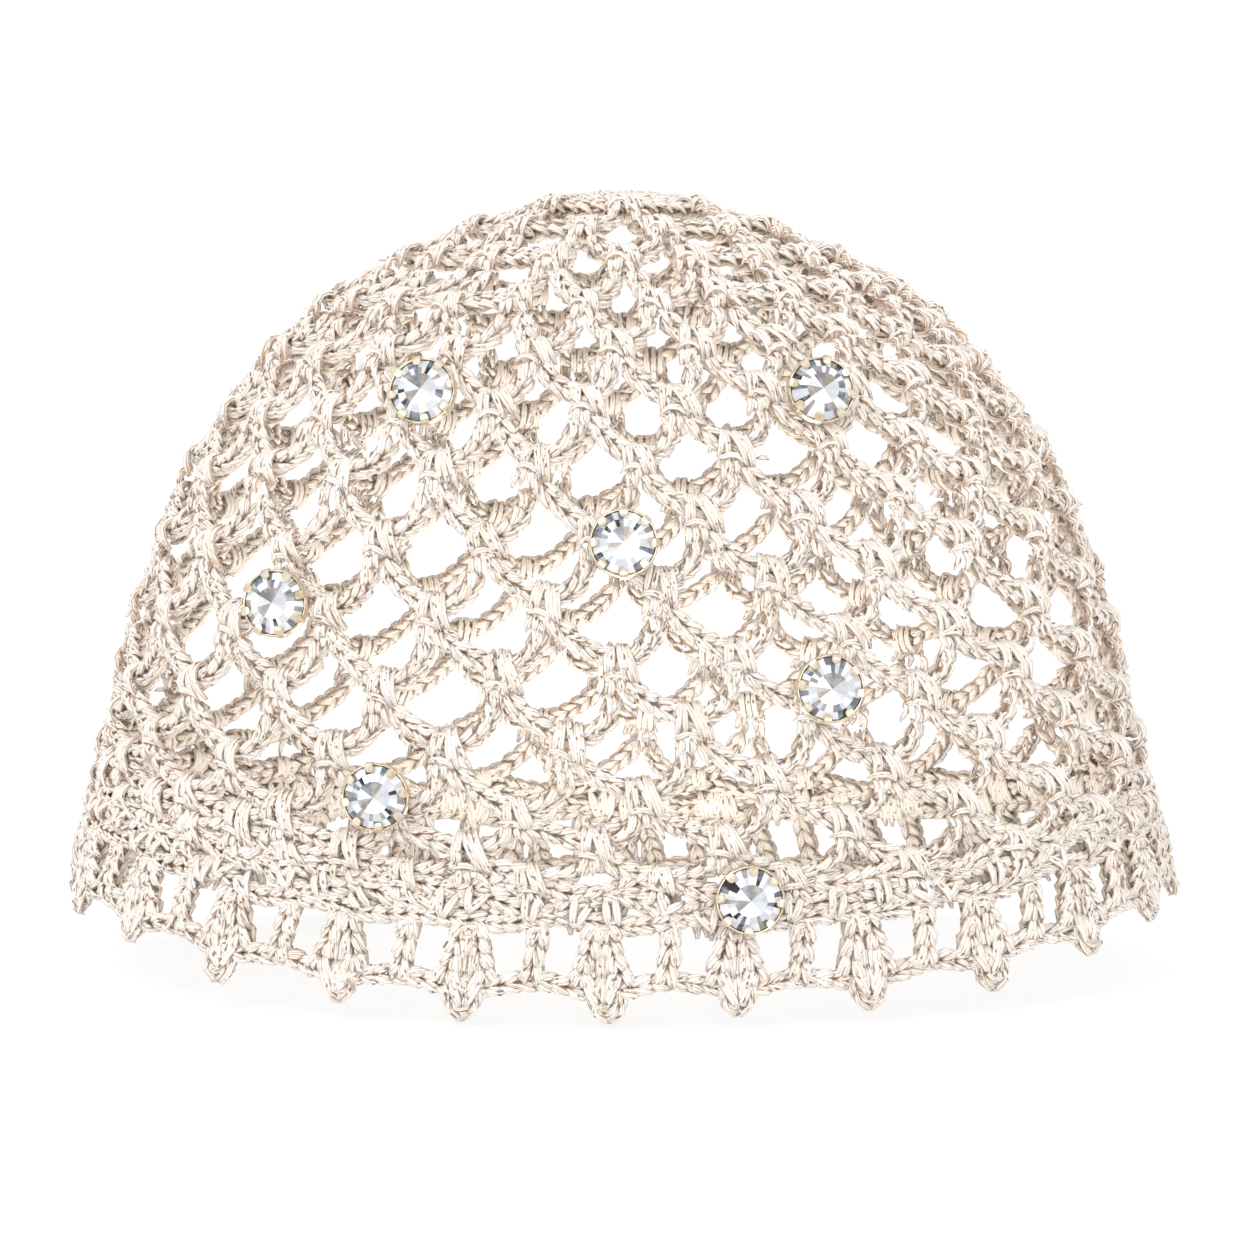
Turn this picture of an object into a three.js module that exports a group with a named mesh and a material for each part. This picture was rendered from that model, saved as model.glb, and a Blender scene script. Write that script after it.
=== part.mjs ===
import * as THREE from 'three';

// A crocheted mesh cap, standing on its rim. Millimetres, +Z up, the front faces -Y.
// Overall form, measured to the middle of the yarn.
const halfWidth = 110;
const halfDepth = 77;
const capHeight = 148;
const pieceGap = 0.3;

// The rim stays on the surface at the front and back and rises toward the sides.
const sideRise = 11.5;
const levelShare = 0.2;

// The chain cord of the net, and the thinner yarn at the edge of a gap and in a closed cell.
const cordWidth = 4.6;
const cordThickness = 3.8;
const gapEdgeThickness = 2.2;
const closedThickness = 1.5;
const gapRoundness = 0.86;

// Fall of each loop between two joints: how square its bend is, and where its middle corner sits.
const loopSquareness = 1.8;
const loopCorner = 0.55;

// The head band and the picot border below it, as heights above the rim line.
const bandTop = 27;
const bandBottom = 17.5;
const bandThickness = 4.4;
const borderChain = 5.8;
const borderShift = 0.35;
const fanTopShare = 0.2;
const fanFootShare = 0.4;
const picotShare = 0.15;
const borderThickness = 3.6;
const borderTopEdge = 1.2;

// The stones: a cupped setting with eight prongs round a cut crystal.
const settingRadius = 6.15;
const settingWall = 0.4;
const settingHeight = 3;
const settingFloor = 0.9;
const prongWidth = 1.5;
const prongReach = 1.45;
const prongHeight = 4.1;
const prongCount = 8;
const crystalCrown = 1.5;
const crystalGirdle = 0.4;
const crystalTableShare = 0.52;
const crystalFacets = 16;
const faceForward = 0.5;

// Section of the cap from crown to rim: shares of the height, of the half width and of the half depth.
const domeSections = [
  { height: 1.0, width: 0.0, depth: 0.0 },
  { height: 0.985, width: 0.155, depth: 0.185 },
  { height: 0.93, width: 0.355, depth: 0.42 },
  { height: 0.86, width: 0.52, depth: 0.6 },
  { height: 0.76, width: 0.65, depth: 0.735 },
  { height: 0.62, width: 0.77, depth: 0.85 },
  { height: 0.45, width: 0.85, depth: 0.915 },
  { height: 0.28, width: 0.905, depth: 0.95 },
  { height: 0.14, width: 0.95, depth: 0.975 },
  { height: 0.0, width: 1.0, depth: 1.0 },
];

// Rounds of loops from the crown down. Height and tilt are shares of the cap height, shift moves the joints
// round by that many loops, and above is the least height over the band, in millimetres. The gaps of an
// open round go through; between open rounds the gaps stay closed and sunk.
const rounds = [
  { name: 'crown_1', loops: 6, height: 0.988, tilt: 0, shift: 0, above: 0, open: false },
  { name: 'crown_2', loops: 12, height: 0.962, tilt: 0, shift: 0.5, above: 0, open: false },
  { name: 'crown_3', loops: 18, height: 0.926, tilt: 0, shift: 0, above: 0, open: false },
  { name: 'crown_4', loops: 24, height: 0.88, tilt: 0.01, shift: 0.45, above: 0, open: false },
  { name: 'side_1', loops: 24, height: 0.828, tilt: 0.02, shift: -0.07, above: 0, open: false },
  { name: 'side_2', loops: 24, height: 0.768, tilt: 0.035, shift: -0.4, above: 0, open: true },
  { name: 'side_3', loops: 24, height: 0.703, tilt: 0.04, shift: 0.15, above: 0, open: false },
  { name: 'side_4', loops: 24, height: 0.63, tilt: 0.06, shift: -0.26, above: 0, open: true },
  { name: 'side_5', loops: 24, height: 0.553, tilt: 0.07, shift: 0.35, above: 0, open: false },
  { name: 'side_6', loops: 24, height: 0.467, tilt: 0.07, shift: -0.02, above: 0, open: true },
  { name: 'side_7', loops: 24, height: 0.388, tilt: 0.08, shift: -0.42, above: 12, open: false },
  { name: 'side_8', loops: 24, height: 0.31, tilt: 0.088, shift: 0.17, above: 6, open: true },
  { name: 'side_9', loops: 24, height: 0.24, tilt: 0.073, shift: -0.2, above: 3, open: false },
];
const tiltTurn = 0.07;
const sideLoops = 24;
const bandShift = 0.3;
const wander = 0.8;

// Stones on the front: loops round from the front, height as a share of the cap height, and how far each
// setting settles between the cords, as a share of the cord's thickness.
const stones = [
  { loops: -2.22, height: 0.7547, settled: 0.42 },
  { loops: 2.215, height: 0.7546, settled: 0.205 },
  { loops: 0.02, height: 0.5821, settled: 0.138 },
  { loops: -3.13, height: 0.5005, settled: 0.228 },
  { loops: 1.735, height: 0.4069, settled: 0.15 },
  { loops: -1.96, height: 0.2752, settled: 0.137 },
  { loops: 0.97, height: 0.1568, settled: 0.069 },
];

const raffia = new THREE.MeshStandardMaterial({ color: 0xece0d0, roughness: 0.75, metalness: 0 });
const gilt = new THREE.MeshStandardMaterial({ color: 0xd2ae7c, roughness: 0.3, metalness: 1 });
const glass = new THREE.MeshStandardMaterial({ color: 0xe6ebf2, roughness: 0.05, metalness: 0.1 });

// Angle round the oval for a share of the way round it, so that equal shares are equal lengths of rim.
const turnSteps = 720;
const turnLengths = [0];
for (let step = 1; step <= turnSteps; step += 1) {
  const angle = ((step - 0.5) / turnSteps) * 2 * Math.PI;
  const length = Math.hypot(halfWidth * Math.cos(angle), halfDepth * Math.sin(angle));
  turnLengths.push(turnLengths[step - 1] + length);
}

function angleAt(turn) {
  const whole = Math.floor(turn);
  const length = (turn - whole) * turnLengths[turnSteps];
  let low = 0;
  let high = turnSteps;
  while (high - low > 1) {
    const middle = (low + high) >> 1;
    if (turnLengths[middle] <= length) low = middle;
    else high = middle;
  }
  const part = (length - turnLengths[low]) / (turnLengths[high] - turnLengths[low]);
  return (whole + (low + part) / turnSteps) * 2 * Math.PI;
}

// Smooth section through the table, read against the root of the drop so that the crown closes round.
function sectionShare(height, column) {
  const dropAt = (share) => Math.sqrt(Math.max(0, 1 - share));
  const drop = Math.min(1, dropAt(height / capHeight));
  let row = 0;
  while (row < domeSections.length - 2 && dropAt(domeSections[row + 1].height) < drop) row += 1;
  const slopeAt = (index) => {
    const before = domeSections[Math.max(0, index - 1)];
    const after = domeSections[Math.min(domeSections.length - 1, index + 1)];
    return (after[column] - before[column]) / (dropAt(after.height) - dropAt(before.height));
  };
  const from = domeSections[row];
  const to = domeSections[row + 1];
  const span = dropAt(to.height) - dropAt(from.height);
  const t = (drop - dropAt(from.height)) / span;
  const start = (1 + 2 * t) * (1 - t) ** 2 * from[column] + t * t * (3 - 2 * t) * to[column];
  return start + span * (t * (1 - t) ** 2 * slopeAt(row) - t * t * (1 - t) * slopeAt(row + 1));
}

function middlePoint(turn, height) {
  const angle = angleAt(turn);
  return new THREE.Vector3(
    halfWidth * sectionShare(height, 'width') * Math.sin(angle),
    -halfDepth * sectionShare(height, 'depth') * Math.cos(angle),
    height,
  );
}

function normalAt(turn, height) {
  const low = Math.min(height, capHeight * 0.996);
  const along = middlePoint(turn + 0.002, low).sub(middlePoint(turn - 0.002, low));
  const up = middlePoint(turn, low + 0.3).sub(middlePoint(turn, low - 0.3));
  return along.cross(up).normalize();
}

function surfacePoint(turn, height, offset) {
  return middlePoint(turn, height).addScaledVector(normalAt(turn, height), offset);
}

function rimLift(turn) {
  const side = Math.abs(Math.sin(angleAt(turn)));
  return sideRise * (Math.max(0, side - levelShare) / (1 - levelShare)) ** 2;
}

// Height of a round where it is joined, tilted up toward the right and kept off the band.
function roundHeight(round, turn) {
  const tilt = round.tilt * Math.sin(angleAt(turn) - angleAt(tiltTurn));
  const height = (round.height + tilt) * capHeight;
  if (!round.above) return height;
  const least = bandTop + round.above + rimLift(turn);
  return (height + least + Math.hypot(height - least, 4)) / 2;
}

function jointTurns(index) {
  const round = rounds[index];
  const turns = [];
  for (let loop = 0; loop < round.loops; loop += 1) {
    turns.push((loop + round.shift) / round.loops);
  }
  return turns;
}

function jointHeight(index, loop, turn) {
  const round = rounds[index];
  const stray = round.loops < sideLoops ? 0 : wander * Math.sin(loop * 2.4 + index * 1.7);
  return roundHeight(round, turn) + stray;
}

// A shell of cells that share their corners. A corner stands on the middle line of the cords, or on the
// outer edge at a free edge; an open cell gets a gap in from its corners, a closed one a thin middle.
class Shell {
  constructor(thickness, topEdge, bottomEdge) {
    this.thickness = thickness;
    this.topEdge = topEdge;
    this.bottomEdge = bottomEdge;
    this.corners = [];
    this.cells = [];
    this.positions = [];
    this.triangles = [];
  }

  corner(turn, height) {
    this.corners.push({ middle: middlePoint(turn, height), normal: normalAt(turn, height) });
    return this.corners.length - 1;
  }

  // A corner whose thickness runs level, so that the edge below it is a flat face.
  levelCorner(turn, height) {
    const index = this.corner(turn, height);
    this.corners[index].normal.setZ(0).normalize();
    return index;
  }

  pair(middle, normal, thickness) {
    const first = this.positions.length / 3;
    for (const side of [1, -1]) {
      const point = middle.clone().addScaledVector(normal, (side * thickness) / 2);
      this.positions.push(point.x, point.y, point.z);
    }
    return { out: first, in: first + 1 };
  }

  // Both skins of a strip between two edges that run the same way round a cell.
  strip(a, b, c, d) {
    this.triangles.push(a.out, b.out, c.out, a.out, c.out, d.out);
    this.triangles.push(a.in, c.in, b.in, a.in, d.in, c.in);
  }

  wall(a, b) {
    this.triangles.push(a.out, a.in, b.in, a.out, b.in, b.out);
  }

  // Corners of the gap: each edge of the cell moved in by the cord beside it.
  gapCorners(loop, edgeWidths) {
    const points = loop.map((index) => this.corners[index]);
    const normal = new THREE.Vector3();
    const centre = new THREE.Vector3();
    points.forEach((point) => {
      normal.add(point.normal);
      centre.addScaledVector(point.middle, 1 / points.length);
    });
    normal.normalize();
    const right = new THREE.Vector3(-normal.y, normal.x, 0).normalize();
    const up = normal.clone().cross(right);
    const flat = points.map((point) => {
      const from = point.middle.clone().sub(centre);
      return new THREE.Vector2(from.dot(right), from.dot(up));
    });
    const moved = points.map((point, index) => {
      const last = (index + flat.length - 1) % flat.length;
      const next = (index + 1) % flat.length;
      const before = flat[index].clone().sub(flat[last]).normalize();
      const after = flat[next].clone().sub(flat[index]).normalize();
      const cross = before.x * after.y - before.y * after.x;
      const inBefore = new THREE.Vector2(-before.y, before.x).multiplyScalar(edgeWidths[last]);
      const inAfter = new THREE.Vector2(-after.y, after.x).multiplyScalar(edgeWidths[index]);
      let move = inBefore.clone().add(inAfter).multiplyScalar(0.5);
      if (Math.abs(cross) > 0.2) {
        const gap = inAfter.clone().sub(inBefore);
        const along = (gap.x * after.y - gap.y * after.x) / cross;
        move = inBefore.clone().addScaledVector(before, along);
      }
      return flat[index].clone().add(move);
    });
    const box = new THREE.Box2().setFromPoints(moved);
    const middle = box.getCenter(new THREE.Vector2());
    const half = box.getSize(new THREE.Vector2()).multiplyScalar(0.5);
    return points.map((point, index) => {
      const from = moved[index].clone().sub(middle);
      const reach = Math.hypot(from.x / half.x, from.y / half.y);
      if (reach > gapRoundness) from.multiplyScalar(gapRoundness / reach);
      const move = from.add(middle).sub(flat[index]);
      const shift = right.clone().multiplyScalar(move.x).addScaledVector(up, move.y);
      shift.addScaledVector(point.normal, -shift.dot(point.normal));
      return { middle: point.middle.clone().add(shift), normal: point.normal };
    });
  }

  build() {
    const pairs = this.corners.map((corner) => this.pair(corner.middle, corner.normal, this.thickness));
    const edges = new Set();
    this.cells.forEach((cell) => {
      cell.loop.forEach((index, at) => edges.add(index + ' ' + cell.loop[(at + 1) % cell.loop.length]));
    });
    const isFree = (from, to) => !edges.has(to + ' ' + from);
    for (const cell of this.cells) {
      const { loop } = cell;
      const following = loop.map((index, at) => loop[(at + 1) % loop.length]);
      if (cell.open) {
        const widths = loop.map((index, at) => {
          if (!isFree(index, following[at])) return cordWidth / 2;
          const isBottom = at < loop.length / 2 - 1;
          return isBottom ? this.bottomEdge : this.topEdge;
        });
        const gap = this.gapCorners(loop, widths).map((corner) => {
          return this.pair(corner.middle, corner.normal, gapEdgeThickness);
        });
        loop.forEach((index, at) => {
          const next = (at + 1) % loop.length;
          this.strip(pairs[index], pairs[loop[next]], gap[next], gap[at]);
          this.wall(gap[next], gap[at]);
        });
      } else {
        const middle = new THREE.Vector3();
        const normal = new THREE.Vector3();
        loop.forEach((index) => {
          middle.addScaledVector(this.corners[index].middle, 1 / loop.length);
          normal.add(this.corners[index].normal);
        });
        normal.normalize();
        const sunk = cell.full ? 0 : (closedThickness - this.thickness) / 2;
        middle.addScaledVector(normal, sunk);
        const centre = this.pair(middle, normal, this.thickness + 2 * sunk);
        loop.forEach((index, at) => {
          const a = pairs[index];
          const b = pairs[following[at]];
          this.triangles.push(a.out, b.out, centre.out, a.in, centre.in, b.in);
        });
      }
      loop.forEach((index, at) => {
        if (isFree(index, following[at])) this.wall(pairs[index], pairs[following[at]]);
      });
    }
    return facets(this.positions, this.triangles);
  }
}

function facets(positions, triangles) {
  const geometry = new THREE.BufferGeometry();
  geometry.setAttribute('position', new THREE.Float32BufferAttribute(positions, 3));
  geometry.setIndex(triangles);
  return geometry;
}

function named(name, geometry, material) {
  const flat = geometry.index ? geometry.toNonIndexed() : geometry;
  flat.computeVertexNormals();
  const mesh = new THREE.Mesh(flat, material);
  mesh.name = name;
  return mesh;
}

// Corner of a loop between a joint at its top and the joint that hangs in its bottom.
function loopBend(peak, hung) {
  const fall = 1 - (1 - loopCorner ** loopSquareness) ** (1 / loopSquareness);
  return {
    turn: hung.turn + (peak.turn - hung.turn) * loopCorner,
    height: hung.height + (peak.height - hung.height) * fall,
  };
}

// The net: round by round, each joint hanging in a loop of the round above.
function crownNet() {
  const shell = new Shell(cordThickness, cordWidth / 2, cordWidth / 2);
  const wrap = (turn) => turn - Math.floor(turn);
  const joints = rounds.map((round, index) => {
    return jointTurns(index).map((turn, loop) => {
      const height = jointHeight(index, loop, turn);
      return { turn: wrap(turn), height, id: shell.corner(turn, height), peak: index };
    });
  });
  const bandHeight = (turn) => bandTop + pieceGap / 2 + rimLift(turn);
  const hem = [];
  for (let loop = 0; loop < sideLoops; loop += 1) {
    const turn = wrap((loop + bandShift) / sideLoops);
    const height = bandHeight(turn);
    hem.push({ turn, height, id: shell.corner(turn, height), peak: rounds.length });
  }
  joints.push(hem);

  // Each round as one ring: its own joints at the tops and the next round's joints at the bottoms. Loops
  // beside a gap keep their bend, and the others run straight.
  const bent = (index) => rounds[index].open || (index + 1 < rounds.length && rounds[index + 1].open);
  const rings = rounds.map((round, index) => {
    const stations = [...joints[index], ...joints[index + 1]].sort((a, b) => a.turn - b.turn);
    const ring = [];
    stations.forEach((station, at) => {
      const following = stations[(at + 1) % stations.length];
      ring.push(station);
      if (!bent(index) || station.peak === following.peak) return;
      const ahead = { ...following, turn: following.turn + (following.turn < station.turn ? 1 : 0) };
      const peak = station.peak === index ? station : ahead;
      const bend = loopBend(peak, peak === station ? ahead : station);
      const turn = wrap(bend.turn);
      ring.push({ turn, height: bend.height, id: shell.corner(turn, bend.height), peak: -1 });
    });
    return ring;
  });
  const hemRing = [];
  const hemJoints = [...joints[rounds.length]].sort((a, b) => a.turn - b.turn);
  hemJoints.forEach((joint) => {
    const turn = joint.turn + 0.5 / sideLoops;
    hemRing.push(joint, { turn, height: 0, id: shell.corner(turn, bandHeight(turn)), peak: -1 });
  });
  rings.push(hemRing);

  // Corners of a ring from one joint to the next, both included.
  const between = (ring, from, to) => {
    const path = [];
    let at = ring.findIndex((station) => station.id === from.id);
    while (ring[at].id !== to.id) {
      path.push(ring[at].id);
      at = (at + 1) % ring.length;
    }
    path.push(to.id);
    return path;
  };
  shell.cells.push({ loop: rings[0].map((station) => station.id), open: false, full: true });
  for (let index = 1; index <= rounds.length; index += 1) {
    const own = [...joints[index]].sort((a, b) => a.turn - b.turn);
    own.forEach((joint, loop) => {
      const next = own[(loop + 1) % own.length];
      const above = between(rings[index - 1], joint, next);
      const below = between(rings[index], joint, next).slice(1, -1);
      const open = index < rounds.length && rounds[index].open;
      shell.cells.push({ loop: [...above.reverse(), ...below], open, full: false });
    });
  }
  return named('crown_net', shell.build(), raffia);
}

// The dense band: one plump ring that follows the rise of the rim.
function headBand() {
  const low = bandBottom + pieceGap / 2;
  const high = bandTop - pieceGap / 2;
  const section = [
    { height: low, offset: 0.38 },
    { height: (low + high) / 2, offset: 0.5 },
    { height: high, offset: 0.38 },
    { height: high, offset: -0.38 },
    { height: (low + high) / 2, offset: -0.5 },
    { height: low, offset: -0.38 },
  ];
  const steps = sideLoops * 2;
  const positions = [];
  const triangles = [];
  for (let step = 0; step < steps; step += 1) {
    const turn = (step / 2 + bandShift) / sideLoops;
    section.forEach((corner, at) => {
      const height = corner.height + rimLift(turn);
      const point = surfacePoint(turn, height, corner.offset * bandThickness);
      positions.push(point.x, point.y, point.z);
      const a = step * section.length + at;
      const b = step * section.length + ((at + 1) % section.length);
      const c = ((step + 1) % steps) * section.length + ((at + 1) % section.length);
      const d = ((step + 1) % steps) * section.length + at;
      triangles.push(a, d, c, a, c, b);
    });
  }
  return named('head_band', facets(positions, triangles), raffia);
}

// Posts and fans under the band, a chain along their feet, and a picot under each fan.
function picotBorder() {
  const shell = new Shell(borderThickness, borderTopEdge, cordWidth * 0.85);
  const top = bandBottom - pieceGap / 2;
  const repeats = [];
  for (let repeat = 0; repeat < sideLoops; repeat += 1) {
    const place = (share, height) => {
      const turn = (repeat + borderShift + share) / sideLoops;
      const level = height + rimLift(turn);
      return height ? shell.corner(turn, level) : shell.levelCorner(turn, level);
    };
    repeats.push({
      postTop: place(0, top),
      postFoot: place(0, borderChain),
      fanTopLeft: place((1 - fanTopShare) / 2, top),
      fanTopRight: place((1 + fanTopShare) / 2, top),
      fanFootLeft: place((1 - fanFootShare) / 2, borderChain),
      fanFootRight: place((1 + fanFootShare) / 2, borderChain),
      picotLeft: place((1 - picotShare) / 2, 0),
      picotRight: place((1 + picotShare) / 2, 0),
    });
  }
  repeats.forEach((own, index) => {
    const next = repeats[(index + 1) % sideLoops];
    const before = [own.postFoot, own.fanFootLeft, own.fanTopLeft, own.postTop];
    const feet = [own.fanFootLeft, own.picotLeft, own.picotRight, own.fanFootRight];
    const after = [own.fanFootRight, next.postFoot, next.postTop, own.fanTopRight];
    shell.cells.push({ loop: before, open: true, full: false });
    shell.cells.push({ loop: [...feet, own.fanTopRight, own.fanTopLeft], open: false, full: true });
    shell.cells.push({ loop: after, open: false, full: false });
  });
  return named('picot_border', shell.build(), raffia);
}

// Angles of the two sides of every prong, in order round the setting.
function prongAngles() {
  const half = prongWidth / settingRadius / 2;
  const angles = [];
  for (let prong = 0; prong < prongCount; prong += 1) {
    const centre = (prong / prongCount) * 2 * Math.PI;
    angles.push(centre - half, centre + half);
  }
  return angles;
}

// A cup round the stone, open at the top, with prongs that stand on its rim and lean in over the stone.
function settingGeometry() {
  const inner = settingRadius - settingWall;
  const profile = [
    { radius: settingRadius * 0.93, height: 0 },
    { radius: settingRadius, height: settingHeight * 0.4 },
    { radius: settingRadius, height: settingHeight },
    { radius: settingRadius, height: prongHeight - 0.5 },
    { radius: settingRadius - prongReach, height: prongHeight },
    { radius: settingRadius - prongReach, height: prongHeight - 0.6 },
    { radius: inner, height: settingHeight },
    { radius: inner, height: settingFloor },
  ];
  const rim = 2;
  const rimInside = 6;
  const angles = prongAngles();
  const positions = [0, 0, 0, 0, 0, settingFloor];
  const at = (side, corner) => 2 + (side % angles.length) * profile.length + corner;
  angles.forEach((angle) => {
    profile.forEach((corner) => {
      positions.push(corner.radius * Math.cos(angle), corner.radius * Math.sin(angle), corner.height);
    });
  });
  const triangles = [];
  const band = (side, low, high) => {
    const next = side + 1;
    triangles.push(at(side, low), at(next, low), at(next, high));
    triangles.push(at(side, low), at(next, high), at(side, high));
  };
  for (let side = 0; side < angles.length; side += 1) {
    const next = side + 1;
    triangles.push(0, at(next, 0), at(side, 0));
    triangles.push(at(side, profile.length - 1), at(next, profile.length - 1), 1);
    band(side, 0, 1);
    band(side, 1, rim);
    band(side, rimInside, profile.length - 1);
    if (side % 2) {
      band(side, rim, rimInside);
      continue;
    }
    for (let corner = rim; corner < rimInside; corner += 1) {
      band(side, corner, corner + 1);
      if (corner === rim) continue;
      triangles.push(at(side, rim), at(side, corner), at(side, corner + 1));
      triangles.push(at(next, rim), at(next, corner + 1), at(next, corner));
    }
  }
  return facets(positions, triangles);
}

// A brilliant: flat table, crown facets, girdle, and a short pavilion to a small flat foot.
function crystalGeometry() {
  const widest = Math.PI / prongCount - prongWidth / settingRadius / 2;
  const clear = (settingRadius - settingWall) * Math.cos(widest) - pieceGap;
  const radius = clear / Math.cos(Math.PI / crystalFacets);
  const low = settingHeight - 0.3 - crystalGirdle;
  const high = low + crystalGirdle;
  const rings = [
    { count: crystalFacets / 2, radius: radius * 0.5, height: settingFloor + pieceGap },
    { count: crystalFacets, radius, height: low },
    { count: crystalFacets, radius, height: high },
    { count: crystalFacets / 2, radius: radius * crystalTableShare, height: high + crystalCrown },
  ];
  const positions = [];
  const triangles = [];
  const starts = rings.map((ring) => {
    const start = positions.length / 3;
    for (let at = 0; at < ring.count; at += 1) {
      const angle = (at / ring.count + 0.5 / crystalFacets) * 2 * Math.PI;
      positions.push(ring.radius * Math.cos(angle), ring.radius * Math.sin(angle), ring.height);
    }
    return start;
  });
  const half = crystalFacets / 2;
  for (let at = 0; at < half; at += 1) {
    const foot = [starts[0] + at, starts[0] + ((at + 1) % half)];
    const table = [starts[3] + at, starts[3] + ((at + 1) % half)];
    const wide = [2 * at, 2 * at + 1, (2 * at + 2) % crystalFacets];
    const under = wide.map((index) => starts[1] + index);
    const over = wide.map((index) => starts[2] + index);
    triangles.push(foot[0], under[1], under[0], foot[0], foot[1], under[1], foot[1], under[2], under[1]);
    triangles.push(under[0], under[1], over[1], under[0], over[1], over[0]);
    triangles.push(under[1], under[2], over[2], under[1], over[2], over[1]);
    triangles.push(table[0], over[0], over[1], table[0], over[1], table[1], table[1], over[1], over[2]);
    if (at > 0 && at < half - 1) {
      triangles.push(starts[0], foot[1], foot[0], starts[3], table[0], table[1]);
    }
  }
  return facets(positions, triangles);
}

// Each stone leans half way from the slope of the cap to the front, and clears the yarn behind it.
function placeStone(geometry, stone) {
  const turn = stone.loops / sideLoops;
  const height = stone.height * capHeight;
  const normal = normalAt(turn, height);
  const axis = normal.clone().lerp(new THREE.Vector3(0, -1, 0), faceForward).normalize();
  const tip = settingRadius * Math.sin(normal.angleTo(axis));
  const behind = (bandThickness / 2 + pieceGap) / normal.dot(axis) + tip - stone.settled * cordThickness;
  const turned = new THREE.Quaternion().setFromUnitVectors(new THREE.Vector3(0, 0, 1), axis);
  const centre = middlePoint(turn, height).addScaledVector(axis, behind);
  const place = new THREE.Matrix4().compose(centre, turned, new THREE.Vector3(1, 1, 1));
  return geometry.clone().applyMatrix4(place);
}

const cap = new THREE.Group();
cap.add(crownNet(), headBand(), picotBorder());
const setting = settingGeometry();
const crystal = crystalGeometry();
stones.forEach((stone, index) => {
  cap.add(named(`setting_${index + 1}`, placeStone(setting, stone), gilt));
  cap.add(named(`crystal_${index + 1}`, placeStone(crystal, stone), glass));
});

// The frame has its origin under the middle of the whole cap, stones included.
const extent = new THREE.Box3().setFromObject(cap);
const middle = extent.getCenter(new THREE.Vector3());
cap.position.set(-middle.x, -middle.y, -extent.min.z);

export default cap;
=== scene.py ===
import math
import bpy
import numpy as np
from mathutils import Matrix, Vector


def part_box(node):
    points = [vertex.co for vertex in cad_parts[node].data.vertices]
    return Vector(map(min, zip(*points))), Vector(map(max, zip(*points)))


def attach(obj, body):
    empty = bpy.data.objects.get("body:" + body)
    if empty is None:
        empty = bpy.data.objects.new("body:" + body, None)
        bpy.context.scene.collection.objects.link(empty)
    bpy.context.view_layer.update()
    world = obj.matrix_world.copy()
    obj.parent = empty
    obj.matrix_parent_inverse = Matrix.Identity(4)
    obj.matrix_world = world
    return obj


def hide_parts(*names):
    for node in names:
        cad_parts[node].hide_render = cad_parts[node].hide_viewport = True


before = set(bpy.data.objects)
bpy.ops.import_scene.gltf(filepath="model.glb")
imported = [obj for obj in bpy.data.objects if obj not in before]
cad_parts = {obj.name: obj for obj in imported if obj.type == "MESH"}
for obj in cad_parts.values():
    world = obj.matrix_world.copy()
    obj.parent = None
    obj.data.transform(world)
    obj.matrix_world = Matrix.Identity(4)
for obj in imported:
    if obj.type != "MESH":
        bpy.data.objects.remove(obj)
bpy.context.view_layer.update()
mm = 0.001
rng = np.random.default_rng(7)
bandBox = np.array([list(corner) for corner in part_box("head_band")]) / mm
print("frame loaded")

# Everything below is in millimetres until a mesh is made. +Z is up and the front faces -Y.
cap = {
    "halfWidth": 110.0,  # to the middle of the yarn, at the rim
    "halfDepth": 77.0,
    "height": 148.0,
    "axis": bandBox[:, 1].mean(),  # the oval's middle stands a little behind the frame's
    "sideRise": 11.5,  # the rim lifts toward the sides
    "levelShare": 0.2,
    "yarn": 3.8,  # thickness of the chain cord
}

# shares of the height, the half width and the half depth, from the crown to the rim
sections = np.array([
    (1.0, 0.0, 0.0),
    (0.985, 0.155, 0.185),
    (0.93, 0.355, 0.42),
    (0.86, 0.52, 0.6),
    (0.76, 0.65, 0.735),
    (0.62, 0.77, 0.85),
    (0.45, 0.85, 0.915),
    (0.28, 0.905, 0.95),
    (0.14, 0.95, 0.975),
    (0.0, 1.0, 1.0),
])

# the surface that the middle of the yarn follows
# reach runs down the cap as the root of the drop, 0 at the crown and 1 at the foot
steps = np.arange(721)
midAngles = (steps[1:] - 0.5) / 720 * 2 * np.pi
stepLengths = np.hypot(cap["halfWidth"] * np.cos(midAngles), cap["halfDepth"] * np.sin(midAngles))
rimLengths = np.concatenate([[0], np.cumsum(stepLengths)]) * 2 * np.pi / 720
knots = np.sqrt(1 - sections[:, 0])


def angleAt(turn):  # equal turns are equal lengths of the rim
    whole = np.floor(turn)
    return (whole + np.interp((turn - whole) * rimLengths[-1], rimLengths, steps / 720)) * 2 * np.pi


def shareAt(reach, column):
    values = sections[:, column]
    before = np.clip(np.arange(len(knots)) - 1, 0, None)
    after = np.clip(np.arange(len(knots)) + 1, None, len(knots) - 1)
    slopes = (values[after] - values[before]) / (knots[after] - knots[before])
    row = np.clip(np.searchsorted(knots, reach, side="right") - 1, 0, len(knots) - 2)
    span = knots[row + 1] - knots[row]
    t = (reach - knots[row]) / span
    start = (1 + 2 * t) * (1 - t) ** 2 * values[row] + t * t * (3 - 2 * t) * values[row + 1]
    return start + span * (t * (1 - t) ** 2 * slopes[row] - t * t * (1 - t) * slopes[row + 1])


def capPoint(turn, reach):
    angle = angleAt(turn)
    x = cap["halfWidth"] * shareAt(reach, 1) * np.sin(angle)
    y = cap["axis"] - cap["halfDepth"] * shareAt(reach, 2) * np.cos(angle)
    return np.stack(np.broadcast_arrays(x, y, cap["height"] * (1 - reach ** 2)), axis=-1)


def unit(vectors):
    return vectors / np.maximum(np.linalg.norm(vectors, axis=-1, keepdims=True), 1e-9)


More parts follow.
